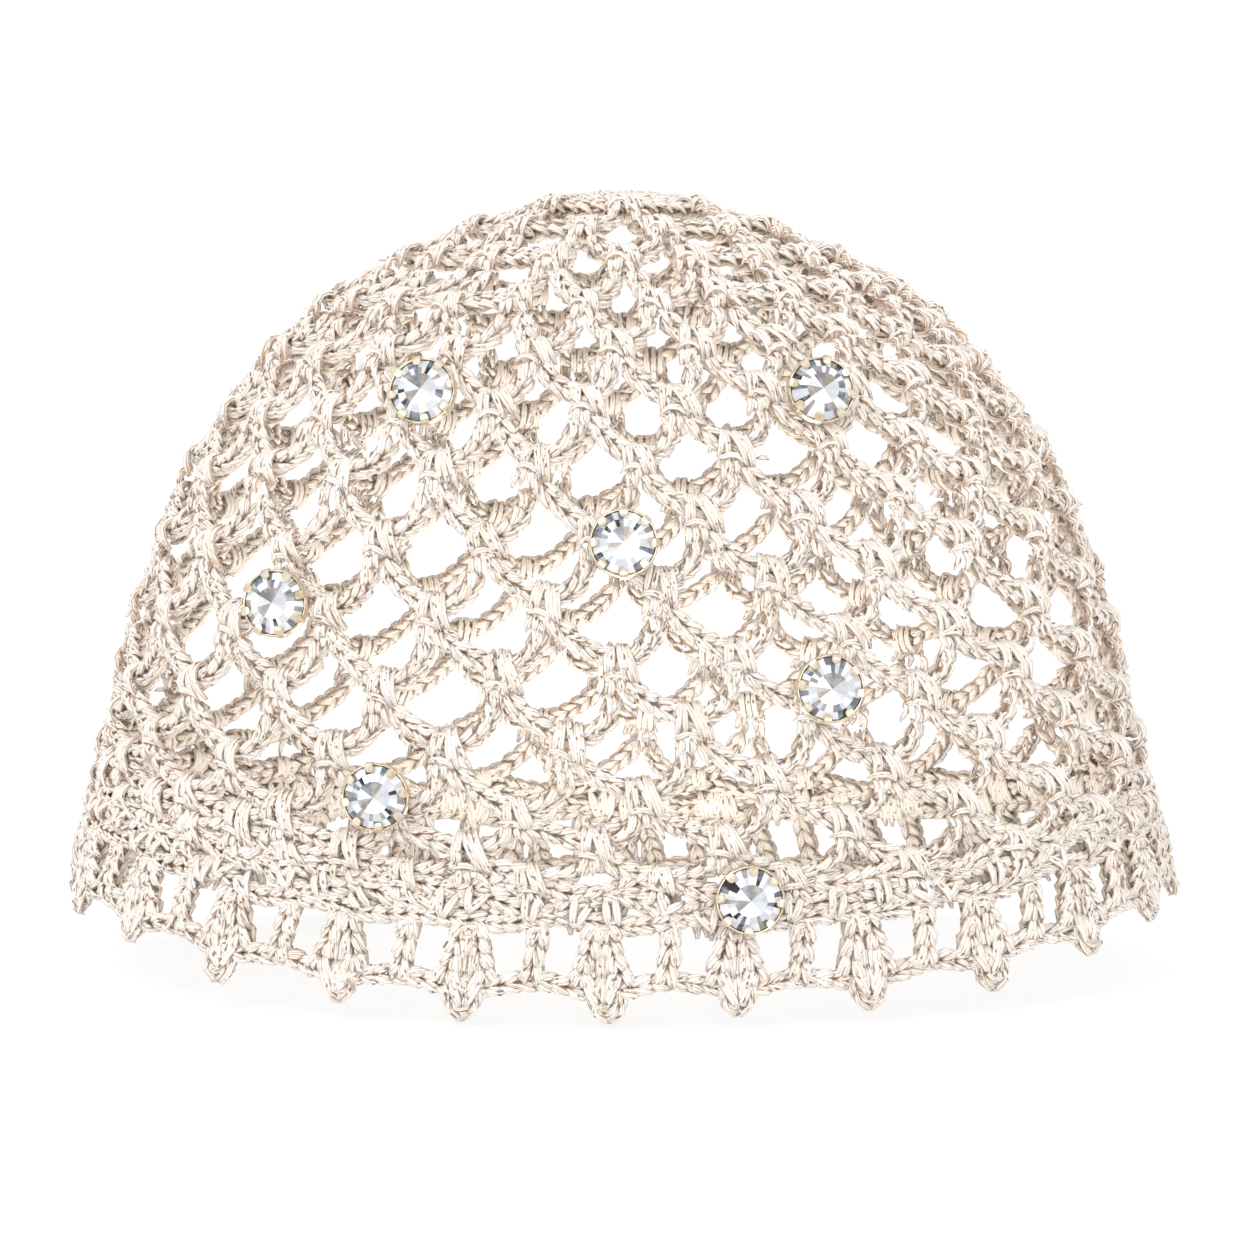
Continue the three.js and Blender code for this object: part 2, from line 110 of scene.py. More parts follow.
def capFrame(turn, reach):  # the place, and the ways to the right, down and out
    near = np.clip(reach, 0.03, 0.999)
    right = unit(capPoint(turn + 0.001, near) - capPoint(turn - 0.001, near))
    down = unit(capPoint(turn, near + 0.001) - capPoint(turn, near - 0.001))
    out = unit(np.cross(down, right))
    return capPoint(turn, reach), right, down, out


def acrossRate(turn, reach):  # millimetres of each full turn here
    return np.linalg.norm(capPoint(turn + 0.001, reach) - capPoint(turn - 0.001, reach), axis=-1) / 0.002


def reachAt(height):
    return np.sqrt(np.clip(1 - height / cap["height"], 0, 1))


def rimLift(turn):
    side = np.abs(np.sin(angleAt(turn)))
    return cap["sideRise"] * (np.clip(side - cap["levelShare"], 0, None) / (1 - cap["levelShare"])) ** 2


# A skein gathers strands of yarn as closed tubes and makes one mesh of them.
class Skein:
    def __init__(self, name):
        self.name = name
        self.points, self.faces, self.fibre = [], [], []
        self.deep, self.tuck, self.strand = [], [], []
        self.count = 0

    # centre and face hold a row of stations for each strand, width and depth are half sizes, and level
    # says how far out of the cap the strand lies there
    def lay(self, centre, face, out, width, depth, level, sides=8):
        total, stations = centre.shape[:2]
        if not total:
            return
        width = np.broadcast_to(width, (total, stations))
        depth = np.broadcast_to(depth, (total, stations))
        level = np.broadcast_to(level, (total, stations))
        out = np.broadcast_to(out, centre.shape)
        along = unit(np.gradient(centre, axis=1))
        face = unit(face - (face * along).sum(-1, keepdims=True) * along)
        side = np.cross(face, along)
        angle = np.arange(sides) / sides * 2 * np.pi
        flat, thick = np.cos(angle), np.sin(angle)
        ring = (width[..., None, None] * flat[:, None] * side[:, :, None]
                + depth[..., None, None] * thick[:, None] * face[:, :, None])
        rise = (ring * out[:, :, None]).sum(-1) + level[..., None]
        lengths = np.linalg.norm(np.diff(centre, axis=1), axis=-1)
        gone = np.concatenate([np.zeros((total, 1)), np.cumsum(lengths, axis=1)], axis=1)
        fibre = np.empty((total, stations, sides, 3))
        fibre[..., 0] = flat * width[..., None]
        fibre[..., 1] = thick * width[..., None]
        fibre[..., 2] = gone[..., None]
        self.points.append((centre[:, :, None] + ring).reshape(-1, 3))
        self.fibre.append(fibre.reshape(-1, 3))
        # painted shade: this value rises where a strand's surface lies toward the inside of the cap, and its
        # colour is darkened there
        self.deep.append(np.clip(0.5 - rise / cap["yarn"], 0, 1).reshape(-1))
        # painted shade: a strand's sides and ends, where they tuck into the crevices between strands, are
        # marked for a darker tan
        flankShade = 0.66 - 0.66 * np.abs(thick) + 0.4 * np.abs(np.linspace(-1, 1, stations))[:, None] ** 4
        self.tuck.append(np.broadcast_to(np.clip(flankShade, 0, 1), rise.shape).reshape(-1))
        self.strand.append(np.repeat(rng.random(total), stations * sides))
        index = self.count + np.arange(total * stations * sides).reshape(total, stations, sides)
        turned = np.roll(index, -1, axis=2)
        walls = np.stack([index[:, :-1], turned[:, :-1], turned[:, 1:], index[:, 1:]], axis=-1)
        self.faces.append(walls.reshape(-1, 4))
        for low in range(sides // 2 - 1):  # each end is closed with quads
            picks = [low, low + 1, sides - 2 - low, sides - 1 - low]
            self.faces.append(index[:, 0][:, picks[::-1]])
            self.faces.append(index[:, -1][:, picks])
        self.count += total * stations * sides

    def make(self, finish, slot, *nodes):
        points = np.concatenate(self.points) * mm
        faces = np.concatenate(self.faces)
        mesh = bpy.data.meshes.new(self.name)
        mesh.vertices.add(len(points))
        mesh.vertices.foreach_set("co", points.astype(np.float32).ravel())
        mesh.loops.add(faces.size)
        mesh.loops.foreach_set("vertex_index", faces.astype(np.int32).ravel())
        mesh.polygons.add(len(faces))
        mesh.polygons.foreach_set("loop_start", np.arange(0, faces.size, 4, dtype=np.int32))
        mesh.polygons.foreach_set("use_smooth", np.ones(len(faces), dtype=bool))
        fibre = mesh.attributes.new("fibre", "FLOAT_VECTOR", "POINT")
        fibre.data.foreach_set("vector", np.concatenate(self.fibre).astype(np.float32).ravel())
        for name, values in (("deep", self.deep), ("tuck", self.tuck), ("strand", self.strand)):
            layer = mesh.attributes.new(name, "FLOAT", "POINT")
            layer.data.foreach_set("value", np.concatenate(values).astype(np.float32))
        mesh.update(calc_edges=True)
        mesh.materials.append(finish)
        piece = bpy.data.objects.new(self.name, mesh)
        bpy.context.collection.objects.link(piece)
        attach(piece, "root")
        if nodes:
            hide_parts(*nodes)
        print(self.name, len(points), "points,", 2 * len(faces), "triangles")
        return piece


def bend(points, stations):  # a smooth run of stations through a few points
    points = np.asarray(points, dtype=float)
    padded = np.concatenate([2 * points[:1] - points[1:2], points, 2 * points[-1:] - points[-2:-1]])
    spot = np.linspace(0, len(points) - 1, stations)
    row = np.minimum(spot.astype(int), len(points) - 2)
    t = (spot - row)[:, None]
    a, b, c, d = padded[row], padded[row + 1], padded[row + 2], padded[row + 3]
    curve = 2 * b + (c - a) * t + (2 * a - 5 * b + 4 * c - d) * t ** 2 + (3 * b - a - 3 * c + d) * t ** 3
    return 0.5 * curve


def plump(stations, tips):  # fullness along a strand that thins toward its ends
    spot = np.linspace(-1, 1, stations)
    return 1 - (1 - tips) * np.abs(spot) ** 2.5


# Chain stitches: two front strands that spread like a plait, short ones between them, and two behind.
chain = {
    "pitch": 3.0,
    "lean": 0.86,  # how far the strands spread from the middle
    "fullness": 0.95,
    "loose": 0.15,  # how far a strand strays
}
# pitches along, mm from the middle, mm out, half width and half thickness of each strand
frontStrand = np.array([
    (-0.3, 0.1, -0.5, 0.2, 0.15),
    (0.1, 0.75, 0.75, 0.68, 0.5),
    (0.5, 1.35, 1.15, 0.86, 0.64),
    (0.95, 1.75, 0.7, 0.78, 0.56),
    (1.35, 1.75, -0.6, 0.25, 0.18),
])
innerStrand = np.array([
    (0.2, 0.0, 0.7, 0.15, 0.12),
    (0.55, 0.4, 1.5, 0.55, 0.42),
    (0.95, 0.9, 1.6, 0.6, 0.45),
    (1.35, 1.2, 0.8, 0.15, 0.12),
])
backStrand = np.array([
    (-0.3, 0.1, -0.8, 0.4, 0.35),
    (0.35, 0.85, -1.5, 0.9, 0.6),
    (1.05, 1.65, -0.5, 0.4, 0.3),
])


# A chain along a path; roll turns its plaited face away from the outside, in radians at each point.
def chainAlong(skein, path, out, roll, look=chain):
    pad = 3 * look["pitch"]
    first, last = unit(path[:1] - path[1:2]), unit(path[-1:] - path[-2:-1])
    path = np.concatenate([path[:1] + first * pad, path, path[-1:] + last * pad])
    out = np.concatenate([out[:1], out, out[-1:]])
    roll = np.concatenate([roll[:1], roll, roll[-1:]])
    gone = np.concatenate([[0], np.cumsum(np.linalg.norm(np.diff(path, axis=0), axis=1))]) - pad
    length = gone[-1] - pad
    stitches = max(1, round(length / look["pitch"]))
    pitch = length / stitches
    along = unit(np.gradient(path, axis=0))
    start = np.arange(stitches) - 0.25 + rng.normal(0, 0.04, stitches)

    def layStrand(table, lean, sides):
        spots = (start[:, None] + table[:, 0]) * pitch

        def read(values):
            return np.stack([np.interp(spots, gone, values[:, axis]) for axis in range(3)], axis=-1)

        middle, ahead, outward = read(path), unit(read(along)), read(out)
        outward = unit(outward - (outward * ahead).sum(-1, keepdims=True) * ahead)
        across = np.cross(ahead, outward)
        turn = np.interp(spots, gone, roll)[..., None]
        up = outward * np.cos(turn) + across * np.sin(turn)
        aside = across * np.cos(turn) - outward * np.sin(turn)
        stray = rng.normal(0, look["loose"], (stitches, 1, 2))
        full = look["fullness"] * (1 + rng.normal(0, 0.07, (stitches, 1)))
        x = table[:, 1] * lean * look["fullness"]
        n = table[:, 2] * look["fullness"]
        centre = middle + aside * (x[:, None] + stray[..., :1]) + up * (n[:, None] + stray[..., 1:])
        face = aside * (x * 0.9)[:, None] + up * (n + 1.0)[:, None]
        if table is backStrand:  # it faces the inside of the cap
            face = -up
        level = ((centre - middle) * outward).sum(-1)
        skein.lay(centre, face, outward, table[:, 3] * full, table[:, 4] * full, level, sides)

    for lean in (-look["lean"], look["lean"]):
        layStrand(frontStrand, lean, 6)
        layStrand(innerStrand, lean, 4)
        layStrand(backStrand, lean, 4)


# Strands in the frame of each place: points are mm right, down and out.
def strandsAt(skein, turn, reach, points, width, depth, stations=6, tips=0.35, scale=1.0, swing=0.08,
              sides=6, inward=False, turned=0.0):
    place, right, down, out = capFrame(np.asarray(turn), np.asarray(reach))
    total = len(place)
    run = bend(points, stations)
    swung = (np.ones(total) * turned)[:, None] + rng.normal(0, swing, (total, 1))
    grow = (np.ones(total) * scale)[:, None] * (1 + rng.normal(0, 0.04, (total, 1)))
    x = (run[:, 0] * np.cos(swung) - run[:, 1] * np.sin(swung)) * grow
    y = (run[:, 0] * np.sin(swung) + run[:, 1] * np.cos(swung)) * grow
    n = run[:, 2] + rng.normal(0, 0.1, (total, 1))
    centre = place[:, None] + x[..., None] * right[:, None] + y[..., None] * down[:, None]
    centre = centre + n[..., None] * out[:, None]
    bulge = run - run.mean(axis=0)
    face = out[:, None] + 0.25 * n[..., None] * out[:, None]
    face = face + 0.2 * bulge[:, 0][:, None] * right[:, None] + 0.12 * bulge[:, 1][:, None] * down[:, None]
    if inward:
        face = -face
    full = plump(stations, tips)
    skein.lay(centre, face, out[:, None], width * full, depth * full, n, sides)


# A joint, where a loop of the next round is worked over a chain: wraps over it, one across, and a knot.
joint = {
    "upright": (-2.3, -1.3),  # places of the wraps across the chain
    "slanted": (-0.15, 0.8, 1.65),
    "behind": (-1.7, -0.4, 0.9),
    "width": 0.62,  # half sizes of a strand
    "depth": 0.5,
    "tips": 0.14,  # share of the joints where a loose end shows
    "tipWidth": 0.5,
    "tipDepth": 0.35,
    "turned": 0.13,  # how far whole joints turn, in radians, and how much their sizes differ
    "uneven": 0.06,
}
# runs of points: mm right, down and out
uprightRun = [(0.0, -2.9, -0.8), (0.0, -1.8, 1.3), (0.0, 0.0, 2.4), (0.0, 1.8, 1.9), (0.1, 2.9, 0.4)]
slantRun = [(-0.6, -3.0, -0.6), (-0.2, -1.8, 1.5), (0.6, 0.2, 2.8), (1.4, 2.4, 2.4), (2.0, 4.5, 0.3)]
behindRun = [(0.0, -3.0, -0.3), (0.0, -1.6, -2.0), (0.0, 1.0, -2.2), (0.0, 2.5, -0.4)]
crossRun = [(-3.1, 3.3, 0.2), (-2.2, 2.7, 1.9), (-0.6, 2.5, 2.7), (0.9, 3.0, 2.0), (1.8, 3.8, 0.7)]
knotRuns = [
    [(-2.5, 3.3, 0.6), (-2.3, 5.0, 1.7), (-2.7, 6.8, 0.2)],
    [(-1.3, 3.2, 1.3), (-1.2, 4.8, 2.2), (-1.5, 6.6, 0.4)],
    [(-0.1, 3.3, 1.5), (0.2, 4.6, 2.2), (0.1, 5.8, 0.5)],
    [(1.2, 4.0, 1.2), (2.2, 5.6, 2.0), (3.4, 7.4, 0.6)],
]
tipRuns = [
    [(-1.5, 2.6, 1.0), (-2.3, 1.9, 2.2), (-3.2, 1.0, 2.8)],
    [(1.0, 4.2, 1.2), (1.8, 5.0, 2.2), (2.1, 6.1, 2.7)],
]


def jointsAt(skein, turn, reach, scale):
    width, depth = joint["width"], joint["depth"]
    turned = rng.normal(0, joint["turned"], len(turn))
    scale = scale * (1 + rng.normal(0, joint["uneven"], len(turn)))
    for offsets, run, inward in ((joint["upright"], uprightRun, False), (joint["slanted"], slantRun, False),
                                 (joint["behind"], behindRun, True)):
        for offset in offsets:
            points = [(x + offset, y, n) for x, y, n in run]
            strandsAt(skein, turn, reach, points, width, depth, tips=0.6, scale=scale, swing=0.08,
                      inward=inward, turned=turned)
    strandsAt(skein, turn, reach, crossRun, width, depth, scale=scale, turned=turned)
    for points in knotRuns:
        strandsAt(skein, turn, reach, points, 1.15 * width, 1.1 * depth, stations=5, scale=scale,
                  turned=turned)
    for points in tipRuns:  # a few ends stand proud
        picked = rng.random(len(turn)) < joint["tips"]
        strandsAt(skein, turn[picked], reach[picked], points, joint["tipWidth"], joint["tipDepth"],
                  stations=4, tips=0.2, swing=0.5, sides=4)


# Rounds of loops from the crown down, as in the solid net: loops, height and tilt as shares of the height,
# shift in loops, and the least height over the band.
net = {
    "rounds": [
        ("crown", 6, 0.988, 0, 0, 0),
        ("crown", 12, 0.962, 0, 0.5, 0),
        ("crown", 18, 0.926, 0, 0, 0),
        ("crown", 24, 0.88, 0.01, 0.45, 0),
        ("upper", 24, 0.828, 0.02, -0.07, 0),
        ("upper", 24, 0.768, 0.035, -0.4, 0),
        ("upper", 24, 0.703, 0.04, 0.15, 0),
        ("middle", 24, 0.63, 0.06, -0.26, 0),
        ("middle", 24, 0.553, 0.07, 0.35, 0),
        ("middle", 24, 0.467, 0.07, -0.02, 0),
        ("lower", 24, 0.388, 0.08, -0.42, 12),
        ("lower", 24, 0.31, 0.088, 0.17, 6),
        ("lower", 24, 0.24, 0.073, -0.2, 3),
    ],
    "loops": 24,
    "bandShift": 0.3,
    "tiltTurn": 0.07,
    "wander": 0.8,
    "startAcross": 2.2,  # where a loop leaves its joint, mm to the right
    "endAcross": 1.2,  # and where the last one comes in, mm to the left
    "startDrop": 0.46,  # share of the way down to the next joint
    "leftBend": 1.3,
    "rightBend": 2.0,
    "sideRoll": math.radians(55),
}
border = {
    "bandTop": 27.0,  # heights over the rim line
    "bandBottom": 17.5,
    "chainHeight": 7.7,
    "shift": 0.35,
    "tip": 2.0,  # height of the middle of the yarn in a picot's tip
    "fanFoot": 3.9,  # mm from the middle of a fan
}


def roundJoints(row):
    if row == len(net["rounds"]):
        turn = (np.arange(net["loops"]) + net["bandShift"]) / net["loops"]
        return turn % 1, reachAt(border["bandTop"] + rimLift(turn))
    part, loops, height, tilt, shift, above = net["rounds"][row]
    loop = np.arange(loops)
    turn = (loop + shift) / loops
    level = (height + tilt * np.sin(angleAt(turn) - angleAt(net["tiltTurn"]))) * cap["height"]
    if above:
        least = border["bandTop"] + above + rimLift(turn)
        level = (level + least + np.hypot(level - least, 4)) / 2
    if loops == net["loops"]:
        level = level + net["wander"] * np.sin(loop * 2.4 + row * 1.7)
    return turn % 1, reachAt(level)


# One loop of a round: from its left joint down to the joints that hang in it, and up to its right joint.
def loopPath(left, right, hung):
    points = []

    def stretch(start, end, across, fall, roll):
        points.append(np.stack([start[0] + (end[0] - start[0]) * across,
                                start[1] + (end[1] - start[1]) * fall, roll], axis=1))

    low = hung[0]
    turnStart = left[0] + net["startAcross"] / acrossRate(left[0], left[1])
    reachStart = left[1] + net["startDrop"] * (low[1] - left[1])
    u = np.linspace(1, 0, 14)
    fall = 1 - (1 - u ** net["leftBend"]) ** (1 / net["leftBend"])
    stretch(low, (turnStart, reachStart), u, fall, np.zeros(14))
    for before, after in zip(hung[:-1], hung[1:]):
        u = np.linspace(0, 1, 8)[1:]
        stretch(before, after, u, u, np.zeros(7))
    low = hung[-1]
    turnEnd = right[0] - net["endAcross"] / acrossRate(right[0], right[1])
    reachEnd = right[1] + net["startDrop"] * (low[1] - right[1])
    u = np.linspace(0, 1, 14)[1:]
    fall = 1 - (1 - u ** net["rightBend"]) ** (1 / net["rightBend"])
    stretch(low, (turnEnd, reachEnd), u, fall, net["sideRoll"] * u ** 0.7)
    points = np.concatenate(points)
    place, right, down, out = capFrame(points[:, 0], points[:, 1])
    return place, out, points[:, 2]


def makeNet(finish):
    skeins = {}
    for row, (part, *rest) in enumerate(net["rounds"]):
        skein = skeins.setdefault(part, Skein("net_" + part))
        own = sorted(zip(*roundJoints(row)))
        below = sorted(zip(*roundJoints(row + 1)))
        own.append((own[0][0] + 1, own[0][1]))
        below += [(turn + 1, reach) for turn, reach in below]
        for left, right in zip(own[:-1], own[1:]):
            hung = [spot for spot in below if left[0] < spot[0] < right[0]]
            chainAlong(skein, *loopPath(left, right, hung))
        turn, reach = np.array(own[:-1]).T
        jointsAt(skein, turn, reach, 0.85 if part == "crown" else 1.0)
    centre = skeins["crown"]  # the crown starts as a tight spiral
    coil = np.linspace(0, 3.4, 260)
    place, right, down, out = capFrame(coil, 0.012 + 0.031 * coil)
    chainAlong(centre, place, out, np.zeros(len(coil)))
    for skein in skeins.values():
        skein.make(finish, "raffia", "crown_net")


band = {
    # height of each chain, rise of its waves and where they start
    "chains": ((25.1, 1.0, 0.0), (22.2, 1.3, 2.0), (19.2, 0.6, 4.2)),
    "waves": 24,
    "ripples": 17,  # smaller waves on them
    "rippleShare": 0.4,
    "clusters": 72,  # upright stitches over them
    "clusterHeight": 21.4,
}
clusterRun = [(1.7, -2.8, 0.4), (1.2, -0.9, 2.2), (0.7, 1.0, 2.3), (0.1, 2.9, 0.6)]
insideRun = [(1.6, -3.6, -0.6), (1.6, 0.0, -1.9), (1.6, 3.6, -0.6)]


def makeBand(finish):
    skein = Skein("band_stitches")
    turn, reach = roundJoints(len(net["rounds"]))
    jointsAt(skein, turn, reach, 0.8)
    turn = np.linspace(0, 1, 601)
    for height, rise, start in band["chains"]:
        angle = turn * 2 * np.pi
        wave = np.sin(angle * band["waves"] + start)
        wave = wave + band["rippleShare"] * np.sin(angle * band["ripples"] + start)
        place, right, down, out = capFrame(turn, reachAt(height + rimLift(turn) + rise * wave))
        chainAlong(skein, place, out, np.zeros(len(turn)))
    stitch = (np.arange(band["clusters"]) + rng.normal(0, 0.2, band["clusters"])) / band["clusters"]
    height = band["clusterHeight"] + rng.normal(0, 0.9, len(stitch)) + rimLift(stitch)
    for side in (-1, 1):
        points = [(side * x, y, n) for x, y, n in clusterRun]
        strandsAt(skein, stitch, reachAt(height), points, 0.8, 0.62, stations=5, swing=0.4)
    for side in (-1, 0, 1):
        points = [(side * x, y, n) for x, y, n in insideRun]
        strandsAt(skein, stitch, reachAt(height), points, 1.1, 0.7, stations=4, swing=0.2, inward=True)
    skein.make(finish, "raffia", "head_band")


# A chain by points beside a place on the rim: mm to the right, heights over the rim line, and mm out.
def rimChain(skein, turn, points, look):
    run = bend(points, 14)
    spot = turn + run[:, 0] / rimLengths[-1]
    place, right, down, out = capFrame(spot, reachAt(run[:, 1] + rimLift(turn)))
    chainAlong(skein, place + run[:, 2:] * out, out, np.zeros(len(run)), look)


def makeBorder(finish):
    skein = Skein("border_stitches")
    repeat = np.arange(net["loops"])
    post = (repeat + border["shift"]) / net["loops"]
    fan = post + 0.5 / net["loops"]
    top, low = border["bandBottom"] + 0.3, border["chainHeight"]
    tip, foot = border["tip"], border["fanFoot"]
    full, slim = {**chain, "fullness": 1.05}, {**chain, "fullness": 0.7}
    for turn in post:
        rimChain(skein, turn, [(0.7, top, 0.2), (0.1, (top + low) / 2, 0.8), (-0.6, low, 0.2)], full)
    for turn in fan:
        sway, rise = rng.normal(0, 0.5), abs(rng.normal(0, 0.8))
        for side in (-1, 1):
            arm = [(1.3, top, 0.3), (2.2, low + 6.0, 0.9), (foot - 0.4, low + 2.4, 0.8), (foot, low, 0.2)]
            rimChain(skein, turn, [(side * x, height, n) for x, height, n in arm], full)
            ring = [(2.4, low - 0.6, 0.2), (2.1, tip + 2.6, 0.8), (1.4, tip + 0.6, 1.0), (-0.4, tip, 0.4)]
            ring = [(side * x + sway, height + rise, n) for x, height, n in ring]
            rimChain(skein, turn, ring, slim)
    fanFoot = reachAt(low + rimLift(fan))
    for side in (-1, 1):
        for points in ([(0.9, -7.5, 0.2), (1.0, -4.5, 1.2), (0.7, -1.0, 1.0)],
                       [(2.6, -3.6, 0.6), (1.7, -0.8, 2.0), (0.5, 2.4, 1.0)],
                       [(2.9, -0.8, 0.8), (1.7, 1.4, 2.1), (0.4, 4.4, 1.4)],
                       [(0.3, -2.0, 0.6), (0.8, 0.6, 1.7), (0.5, 3.6, 1.2)]):
            points = [(side * x, y, n) for x, y, n in points]
            strandsAt(skein, fan, fanFoot, points, 0.85, 0.65, stations=5)
    for place, across in ((post, 1.6), (fan, 2.4)):
        apex = reachAt(top - 0.6 + rimLift(place))
        for y in (-0.6, 0.8):
            points = [(-across, y + 0.9, 0.4), (0.0, y, 2.1), (across, y + 0.3, 0.4)]
            strandsAt(skein, place, apex, points, 0.6, 0.5, stations=5)
    turn = np.linspace(0, 1, 481)
    phase = (turn * net["loops"] - border["shift"]) % 1
    place, right, down, out = capFrame(turn, reachAt(low + 0.8 * np.cos(phase * 2 * np.pi) + rimLift(turn)))
    chainAlong(skein, place, out, np.zeros(len(turn)))
    skein.make(finish, "raffia", "picot_border")


# One socket of a node tree, with arithmetic: numbers go through Math, vectors through Vector Math and
# colours through Mix.
class Wire:
    def __init__(self, finish, socket):
        self.finish = finish
        self.socket = socket

    def work(self, operation, first, second):
        if self.socket.type == "VECTOR":
            return self.finish.add("ShaderNodeVectorMath", {"operation": operation}, {0: first, 1: second})
        if self.socket.type == "RGBA":
            settings = {"data_type": "RGBA", "blend_type": operation}
            return self.finish.add("ShaderNodeMix", settings, {0: 1.0, 6: first, 7: second}, 2)
        return self.finish.add("ShaderNodeMath", {"operation": operation}, {0: first, 1: second})

    def __add__(self, other):
        return self.work("ADD", self, other)

    def __radd__(self, other):
        return self.work("ADD", other, self)

    def __sub__(self, other):
        return self.work("SUBTRACT", self, other)

    def __rsub__(self, other):
        return self.work("SUBTRACT", other, self)

    def __mul__(self, other):
        return self.work("MULTIPLY", self, other)

    def __rmul__(self, other):
        return self.work("MULTIPLY", other, self)

    def __truediv__(self, other):
        return self.work("DIVIDE", self, other)

    def __pow__(self, other):
        return self.work("POWER", self, other)

    def between(self, low, high):  # 0 up to low, 1 from high, smooth between
        settings = {"interpolation_type": "SMOOTHSTEP"}
        values = {"Value": self, "From Min": low, "From Max": high}
        return self.finish.add("ShaderNodeMapRange", settings, values)

    def blend(self, first, second):  # the first colour at 0, the second at 1
        return self.finish.add("ShaderNodeMix", {"data_type": "RGBA"}, {0: self, 6: first, 7: second}, 2)


class Finish:
    def __init__(self, name, fixed):
        self.material = bpy.data.materials.new(name)
        self.material.use_nodes = True
        self.tree = self.material.node_tree
        self.shader = self.tree.nodes["Principled BSDF"]
        for socket, value in fixed.items():
            self.shader.inputs[socket].default_value = value

    def put(self, socket, value):
        if isinstance(value, Wire):
            self.tree.links.new(value.socket, socket)
        elif socket.type == "VECTOR" and np.isscalar(value):
            socket.default_value = (value, value, value)
        else:
            socket.default_value = value

    def add(self, kind, settings=None, values=None, output=0):
        node = self.tree.nodes.new(kind)
        for name, value in (settings or {}).items():
            if name == "stops":
                while len(node.color_ramp.elements) < len(value):
                    node.color_ramp.elements.new(0.5)
                for element, (place, colour) in zip(node.color_ramp.elements, value):
                    element.position, element.color = place, colour
            else:
                setattr(node, name, value)
        for name, value in (values or {}).items():
            self.put(node.inputs[name], value)
        return Wire(self, node.outputs[output])

    def layer(self, name, output="Fac"):
        return self.add("ShaderNodeAttribute", {"attribute_name": name}, output=output)

    def shade(self, **values):
        for name, value in values.items():
            self.put(self.shader.inputs[name.replace("_", " ")], value)
        return self.material


def colour(code):  # a hex colour as linear light
    parts = [int(code[at:at + 2], 16) / 255 for at in (0, 2, 4)]
    return tuple(((c + 0.055) / 1.055) ** 2.4 if c > 0.04 else c / 12.92 for c in parts) + (1.0,)


raffia = {
    "light": colour("F8F4EF"),
    "warm": colour("F2E9DF"),
    # painted shade: inner is the darker tone for strand surfaces that lie toward the inside of the cap
    "inner": colour("EDE4D7"),
    # tan also colours the darker fibre streaks, and it is the painted shade in the middle grooves and at the
    # strands' sides and ends
    "tan": colour("A97B4D"),
    # painted shade: dark is the colour of the shade inside the pinholes
    "dark": colour("6A4A33"),
    "streaks": 2.6,  # streaks in a millimetre across a strand
    "stretch": 0.22,  # and along it
    "shadedGroove": 0.11,  # mm from the middle of a strand to the sides of its groove, which gets a tan line of painted shade
    "ridge": 0.00023,  # metres
}


def raffiaFinish():
    finish = Finish("creamRaffia", {"Specular IOR Level": 0.4, "Sheen Weight": 0.2, "Sheen Roughness": 0.4})
    fibre = finish.layer("fibre", "Vector")
    strand, deep, tuck = finish.layer("strand"), finish.layer("deep"), finish.layer("tuck")
    across, along = raffia["streaks"], raffia["streaks"] * raffia["stretch"]
    spread = finish.add("ShaderNodeCombineXYZ", {}, {0: strand * 37.0, 1: strand * 91.0, 2: strand * 53.0})
    run = fibre * (across, across, along) + spread
    noise = "ShaderNodeTexNoise"
    streak = finish.add(noise, {}, {"Vector": run, "Scale": 1.0, "Detail": 2.0, "Roughness": 0.65})
    fine = finish.add(noise, {}, {"Vector": run * (2.4, 2.4, 1.2), "Scale": 1.0, "Detail": 2.0})
    spots = finish.add(noise, {}, {"Vector": run * (0.7, 0.7, 1.7) + 9.0, "Scale": 1.0, "Detail": 0.0})
    # painted shade: sparse dark specks where pinholes in the tape are shaded inside
    pinholeShade = spots.between(0.7, 0.76)
    groove = streak.between(0.45, 0.34)
    aside = finish.add("ShaderNodeSeparateXYZ", {}, {0: fibre}) + (streak - 0.5) * 0.5
    shadedGroove = (aside * aside).between(raffia["shadedGroove"] ** 2, 0.0)
    tone = strand.blend(raffia["light"], raffia["warm"])
    # painted shade: surfaces toward the inside of the cap blend to the darker inner tone
    tone = (deep.between(0.35, 0.85) * 0.8).blend(tone, raffia["inner"])
    tone = (groove * 0.34).blend(tone, raffia["tan"])
    # painted shade: a tan line down the middle groove of each strand
    tone = (shadedGroove * 0.4).blend(tone, raffia["tan"])
    # painted shade: a darker tan at the sides and ends of each strand, for the shade of the crevices, weaker
    # toward the inside of the cap
    edgeShadeMix = tuck.between(0.36, 0.68) * (1 - 0.5 * deep.between(0.36, 0.56)) * 0.8
    tone = edgeShadeMix.blend(tone, raffia["tan"])
    tone = (pinholeShade * 0.8).blend(tone, raffia["dark"])
    ridge = streak * 0.65 + fine * 0.25 - pinholeShade * 0.5 - shadedGroove * 0.35
    bump = finish.add("ShaderNodeBump", {}, {"Strength": 1.0, "Distance": raffia["ridge"], "Height": ridge})
    return finish.shade(Base_Color=tone, Roughness=0.42 + fine * 0.3, Normal=bump)


print("materials")
creamRaffia = raffiaFinish()
makeNet(creamRaffia)
print("net made")
makeBand(creamRaffia)
makeBorder(creamRaffia)
print("band and border made")

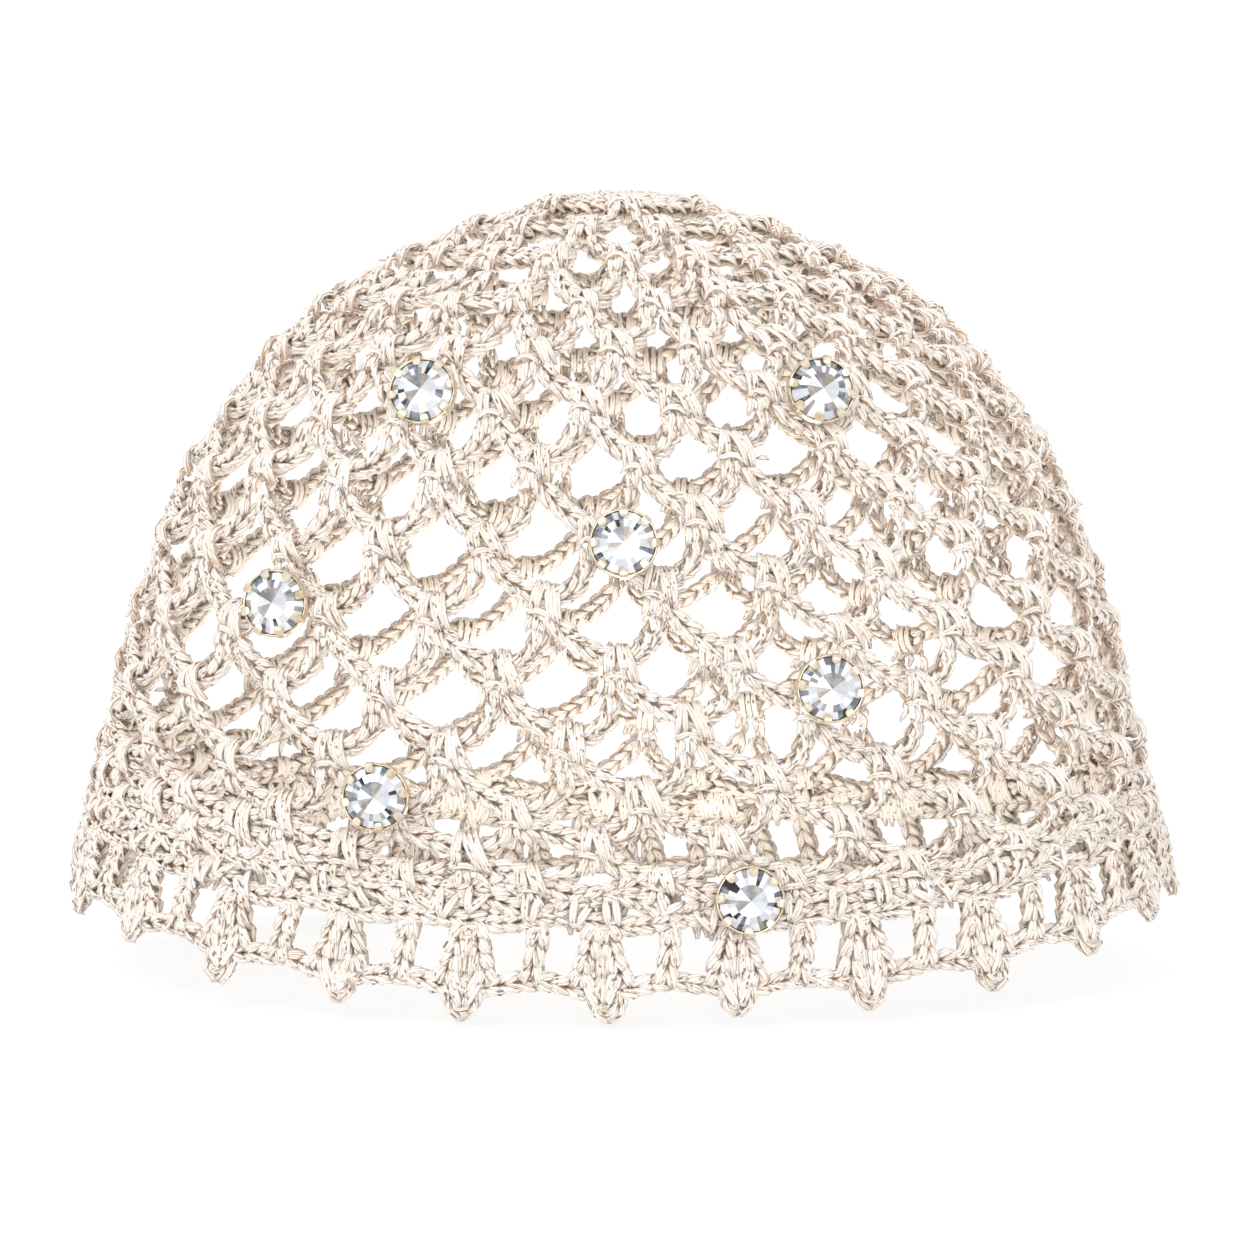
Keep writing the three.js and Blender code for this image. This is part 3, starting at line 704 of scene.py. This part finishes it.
# Stones on the front, placed as the solids are.
stones = {
    # loops round from the front, height as a share, and how far each settles as a share of the yarn
    "places": [(-2.22, 0.7547, 0.42), (2.215, 0.7546, 0.205), (0.02, 0.5821, 0.138), (-3.13, 0.5005, 0.228),
               (1.735, 0.4069, 0.15), (-1.96, 0.2752, 0.137), (0.97, 0.1568, 0.069)],
    "radius": 6.15,
    "wall": 0.4,
    "height": 3.0,
    "floor": 0.9,
    "prongs": 8,
    "prongWidth": 1.35,
    "prongThickness": 0.24,  # half of it
    "lean": 0.5,
    "behind": 2.5,  # half the band's thickness and its gap
    "tableShare": 0.52,
    "crown": 1.5,
}


# along a prong: mm out from the rim, mm up from it, and its width as a share
prongOutline = [
    (-0.05, -1.8, 0.8),
    (0.05, -0.6, 0.95),
    (0.05, 0.15, 1.05),
    (-0.12, 0.8, 1.15),
    (-0.5, 1.05, 1.2),
    (-0.95, 1.0, 1.15),
    (-1.3, 0.9, 1.0),
    (-1.45, 0.84, 0.55),
]
prongSection = [(1, 0.4), (0.8, 1), (-0.8, 1), (-1, 0.4), (-1, -0.4), (-0.8, -1), (0.8, -1), (1, -0.4)]


def stonePlace(loops, height, settled):
    turn, reach = np.array(loops / net["loops"]), np.array(reachAt(height * cap["height"]))
    place, right, down, out = [Vector(part) for part in capFrame(turn, reach)]
    axis = (out * (1 - stones["lean"]) + Vector((0, -1, 0)) * stones["lean"]).normalized()
    tip = stones["radius"] * math.sin(out.angle(axis))
    behind = stones["behind"] / out.dot(axis) + tip - settled * cap["yarn"]
    turned = Vector((0, 0, 1)).rotation_difference(axis).to_matrix().to_4x4()
    return Matrix.Translation(place + axis * behind) @ turned


def revolved(profile, sides):  # a closed ring-shaped body from a closed profile
    profile = np.array(profile)
    angle = np.arange(sides) / sides * 2 * np.pi
    points = np.stack([profile[:, 0] * np.cos(angle)[:, None], profile[:, 0] * np.sin(angle)[:, None],
                       np.broadcast_to(profile[:, 1], (sides, len(profile)))], axis=-1)
    index = np.arange(sides * len(profile)).reshape(sides, -1)
    ahead = np.roll(index, -1, axis=0)
    faces = np.stack([index, ahead, np.roll(ahead, -1, axis=1), np.roll(index, -1, axis=1)], axis=-1)
    return points.reshape(-1, 3), faces.reshape(-1, 4)


def makeSetting(name, place, finish):
    radius, wall, low = stones["radius"], stones["wall"], stones["floor"]
    inner = radius - wall
    rim = stones["height"]
    profile = [(0.02, 0.0), (radius * 0.9, 0.0), (radius * 0.98, 0.5), (radius, 1.2), (radius, rim - 0.3),
               (radius - wall * 0.3, rim - 0.05), (radius - wall * 0.7, rim - 0.02), (inner, rim - 0.2),
               (inner, low), (0.02, low)]
    points, faces = revolved(profile, 48)
    mesh = bpy.data.meshes.new(name)
    points = [tuple(point) for point in points]
    faces = [tuple(face) for face in faces]
    ringFaces = len(faces)
    half, thick = stones["prongWidth"] / 2, stones["prongThickness"]
    for prong in range(stones["prongs"]):
        angle = prong / stones["prongs"] * 2 * math.pi
        away = Vector((math.cos(angle), math.sin(angle), 0))
        aside = Vector((-math.sin(angle), math.cos(angle), 0))
        up = Vector((0, 0, 1))
        start = len(points)
        spine = [away * (radius + x) + up * (rim + z) for x, z, share in prongOutline]
        for at, middle in enumerate(spine):
            ahead = (spine[min(at + 1, len(spine) - 1)] - spine[max(at - 1, 0)]).normalized()
            outward = aside.cross(ahead) * -1
            wide = half * prongOutline[at][2]
            for x, z in prongSection:
                points.append(tuple(middle + aside * wide * x + outward * thick * z))
        for at in range(len(spine) - 1):
            for corner in range(8):
                ring, ahead = start + at * 8, start + (at + 1) * 8
                following = (corner + 1) % 8
                faces.append((ring + corner, ring + following, ahead + following, ahead + corner))
        faces.append(tuple(start + corner for corner in range(7, -1, -1)))
        faces.append(tuple(start + (len(spine) - 1) * 8 + corner for corner in range(8)))
    mesh.from_pydata([Vector(point) * mm for point in points], [], faces)
    return finishStone(name, mesh, place, finish, ringFaces)


def finishStone(name, mesh, place, finish, smoothFaces):
    shift = place.copy()
    shift.translation = shift.translation * mm
    mesh.transform(shift)
    for face in mesh.polygons:
        face.use_smooth = face.index < smoothFaces
    mesh.materials.append(finish)
    piece = bpy.data.objects.new(name, mesh)
    bpy.context.collection.objects.link(piece)
    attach(piece, "root")
    return piece


crystal = {
    "sides": 16,
    "clearance": 0.08,
    "girdle": 0.4,
    "breakShare": 0.76,  # where the long outer facets meet the inner ones
    "tones": [0.0, 0.25, 0.5, 0.8, 1.0],  # painted glints, dark to bright, and how often each comes
    "toneShares": [0.08, 0.15, 0.15, 0.28, 0.34],
    "tableTones": (0.74, 0.47, 0.33, 0.88, 0.5, 0.97, 1.0, 0.78),  # painted glints on the wedges of the table, over from the right
    "uneven": 0.035,
    "colours": ((0.0, "2C2E34"), (0.28, "71777F"), (0.45, "8F8377"), (0.72, "BBBFC5"), (1.0, "EBECED")),
}


# A round stone of flat facets; each facet keeps a painted glint, a painted reflection from dark to bright.
def makeCrystal(name, place, finish, number):
    sides = crystal["sides"]
    outer = stones["radius"] - stones["wall"] - crystal["clearance"]
    high = stones["height"] - 0.3
    rings = [(outer * 0.45, stones["floor"] + 0.3), (outer, high - crystal["girdle"]), (outer, high),
             (outer * crystal["breakShare"], high + stones["crown"] * 0.62),
             (outer * stones["tableShare"], high + stones["crown"])]
    corners = []
    for side in range(sides):
        angle = side / sides * 2 * math.pi
        x, y = math.cos(angle), math.sin(angle)
        corners.append([Vector((radius * x, radius * y, height)) for radius, height in rings])
    base, tip = Vector((0, 0, stones["floor"] + 0.3)), Vector((0, 0, high + stones["crown"] + 0.05))
    points, faces, glints = [], [], []
    values = np.random.default_rng(40 + number)

    def facet(glint, *spots):
        faces.append(tuple(range(len(points), len(points) + len(spots))))
        points.extend(spots)
        glints.append(glint)

    for side in range(sides):
        own, ahead = corners[side], corners[(side + 1) % sides]
        facet(0.3, base, ahead[0], own[0])
        facet(0.3, own[0], ahead[0], ahead[1], own[1])
        facet(0.5, own[1], ahead[1], ahead[2], own[2])
        middle = [(one + other) / 2 for one, other in zip(own, ahead)]
        for one, other in ((own, middle), (middle, ahead)):
            tones = values.choice(crystal["tones"], 2, p=crystal["toneShares"])
            if values.random() < 0.25:
                tones[1] = tones[0]
            facet(tones[0], one[2], other[2], other[3], one[3])
            facet(tones[1], one[3], other[3], other[4], one[4])
        wedge = crystal["tableTones"][side * 8 // sides]
        facet(min(1, max(0.05, wedge + values.normal(0, crystal["uneven"]))), own[4], ahead[4], tip)
    mesh = bpy.data.meshes.new(name)
    mesh.from_pydata([Vector(point) * mm for point in points], [], faces)
    layer = mesh.attributes.new("glint", "FLOAT", "FACE")
    layer.data.foreach_set("value", glints)
    return finishStone(name, mesh, place, finish, 0)


def giltFinish():
    finish = Finish("paleGilt", {"Metallic": 1.0, "Coat Weight": 0.3})
    place = finish.add("ShaderNodeTexCoord", output="Object")
    wear = finish.add("ShaderNodeTexNoise", {}, {"Vector": place, "Scale": 900.0, "Detail": 3.0})
    fine = finish.add("ShaderNodeTexNoise", {}, {"Vector": place, "Scale": 4200.0, "Detail": 2.0})
    tone = wear.between(0.35, 0.7).blend(colour("E9DCC9"), colour("CDB594"))
    bump = finish.add("ShaderNodeBump", {}, {"Strength": 0.25, "Distance": 0.00005, "Height": fine})
    return finish.shade(Base_Color=tone, Roughness=0.16 + wear * 0.22, Normal=bump)


def crystalFinish():
    finish = Finish("cutCrystal", {"Metallic": 0.15, "Specular IOR Level": 0.25, "Coat Weight": 0.15,
                                   "Coat Roughness": 0.02})
    # painted reflection: each facet's colour comes from its painted glint
    glint = finish.layer("glint")
    stops = [(place, colour(code)) for place, code in crystal["colours"]]
    tone = finish.add("ShaderNodeValToRGB", {"stops": stops}, {0: glint})
    place = finish.add("ShaderNodeTexCoord", output="Object")
    sheenPatches = finish.add("ShaderNodeTexNoise", {}, {"Vector": place, "Scale": 700.0, "Detail": 2.0})
    # painted reflection: pale blue-white patches over the facets; the same noise varies the roughness
    tone = (sheenPatches.between(0.45, 0.6) * 0.2).blend(tone, colour("E4E9F2"))
    return finish.shade(Base_Color=tone, Roughness=0.04 + sheenPatches * 0.05)


gilt, cutCrystal = giltFinish(), crystalFinish()
for number, spot in enumerate(stones["places"], 1):
    place = stonePlace(*spot)
    setting = makeSetting(f"stone_setting_{number}", place, gilt)
    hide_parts(f"setting_{number}")
    stone = makeCrystal(f"stone_{number}", place, cutCrystal, number)
    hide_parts(f"crystal_{number}")
print("stones made")

studio = {
    "target": (1.0, 0.98, 65.4),  # mm
    "distance": 880.0,
    "elevation": math.radians(5),
    "lens": 130.0,
    "world": 1.04,
    "floorGlow": 0.76,  # keeps the cap's shadow pale
    "floorFront": -3.0,  # metres, as are the next three
    "floorBack": 0.9,
    "floorBow": 1.1,  # how it curves up into the wall
    "wall": 4.0,  # its height and half its width
    "lights": (("keyLight", (-0.8, -1.1, 1.25), 0.6, 7), ("frontLight", (0.1, -1.6, 0.2), 0.9, 8),
               ("innerLight", (0.0, 0.0, 0.004), 0.05, 0.12)),  # places in metres, sizes and watts
}


def makeStudio():
    world = bpy.data.worlds.new("studio")
    bpy.context.scene.world = world
    world.use_nodes = True
    world.node_tree.nodes["Background"].inputs["Color"].default_value = (1, 1, 1, 1)
    world.node_tree.nodes["Background"].inputs["Strength"].default_value = studio["world"]
    finish = Finish("whiteSweep", {"Roughness": 0.9, "Specular IOR Level": 0.1,
                                   "Emission Color": (1, 1, 1, 1), "Emission Strength": studio["floorGlow"]})
    place = finish.add("ShaderNodeTexCoord", output="Object")
    grain = finish.add("ShaderNodeTexNoise", {}, {"Vector": place, "Scale": 3.0, "Detail": 2.0})
    finish.shade(Base_Color=grain.blend(colour("8A8A8A"), colour("868686")))
    back, bow, wall = studio["floorBack"], studio["floorBow"], studio["wall"]
    profile = [(studio["floorFront"], 0.0), (back, 0.0)]
    for step in range(1, 13):
        turn = step / 12 * math.pi / 2
        profile.append((back + bow * math.sin(turn), bow - bow * math.cos(turn)))
    profile.append((back + bow, wall))
    points = [(x, y, z) for y, z in profile for x in (-wall, wall)]
    faces = [(2 * at, 2 * at + 1, 2 * at + 3, 2 * at + 2) for at in range(len(profile) - 1)]
    mesh = bpy.data.meshes.new("sweep")
    mesh.from_pydata(points, [], faces)
    for face in mesh.polygons:
        face.use_smooth = True
    mesh.materials.append(finish.material)
    sweep = bpy.data.objects.new("sweep", mesh)
    bpy.context.collection.objects.link(sweep)
    target = Vector(studio["target"]) * mm
    for name, spot, size, power in studio["lights"]:
        light = bpy.data.lights.new(name, "AREA")
        light.size, light.energy = size, power
        lamp = bpy.data.objects.new(name, light)
        lamp.location = spot
        lamp.rotation_euler = (target - Vector(spot)).to_track_quat("-Z", "Y").to_euler()
        bpy.context.collection.objects.link(lamp)
    camera = bpy.data.cameras.new("camera")
    camera.lens, camera.sensor_width = studio["lens"], 36
    camera.clip_end = 50
    eye = bpy.data.objects.new("camera", camera)
    ahead = Vector((0, math.cos(studio["elevation"]), -math.sin(studio["elevation"])))
    eye.location = target - ahead * studio["distance"] * mm
    eye.rotation_euler = ahead.to_track_quat("-Z", "Y").to_euler()
    bpy.context.collection.objects.link(eye)
    bpy.context.scene.camera = eye
    bpy.context.scene.view_settings.view_transform = "Standard"


makeStudio()
print("studio and sizes done")
